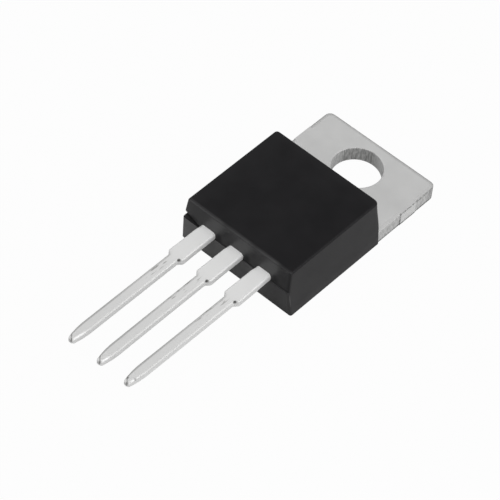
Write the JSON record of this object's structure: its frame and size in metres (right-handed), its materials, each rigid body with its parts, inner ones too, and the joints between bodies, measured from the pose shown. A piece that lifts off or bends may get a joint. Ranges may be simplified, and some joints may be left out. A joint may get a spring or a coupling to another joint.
{
  "type": "rectifier diode",
  "caption": "Through-hole rectifier diode: black moulded body on a drilled metal heat-sink tab, with a row of flat stepped solder leads.",
  "frame": {"origin": "centre of the mounting hole on the metal mounting face", "axes": "+Z along the hole, from the mounting face up to the epoxy side; +Y from the body to the free end of the tab, so the leads point along -Y; X across the row of leads"},
  "size_m": [0.01, 0.0287, 0.0042],
  "materials": {
    "epoxy": "satin moulding compound",
    "plated_tab": "satin plated copper",
    "tinned_lead": "satin tin plating",
    "silicon": "polished",
    "solder": "dull",
    "aluminium_wire": "drawn wire"
  },
  "bodies": {
    "root": {"moulded_body": "epoxy", "heat_sink": "plated_tab", "left_anode_lead": "tinned_lead", "right_anode_lead": "tinned_lead", "left_chip": "silicon", "right_chip": "silicon", "left_chip_solder": "solder", "right_chip_solder": "solder", "left_bond_wire": "aluminium_wire", "right_bond_wire": "aluminium_wire"}
  },
  "joints": []
}
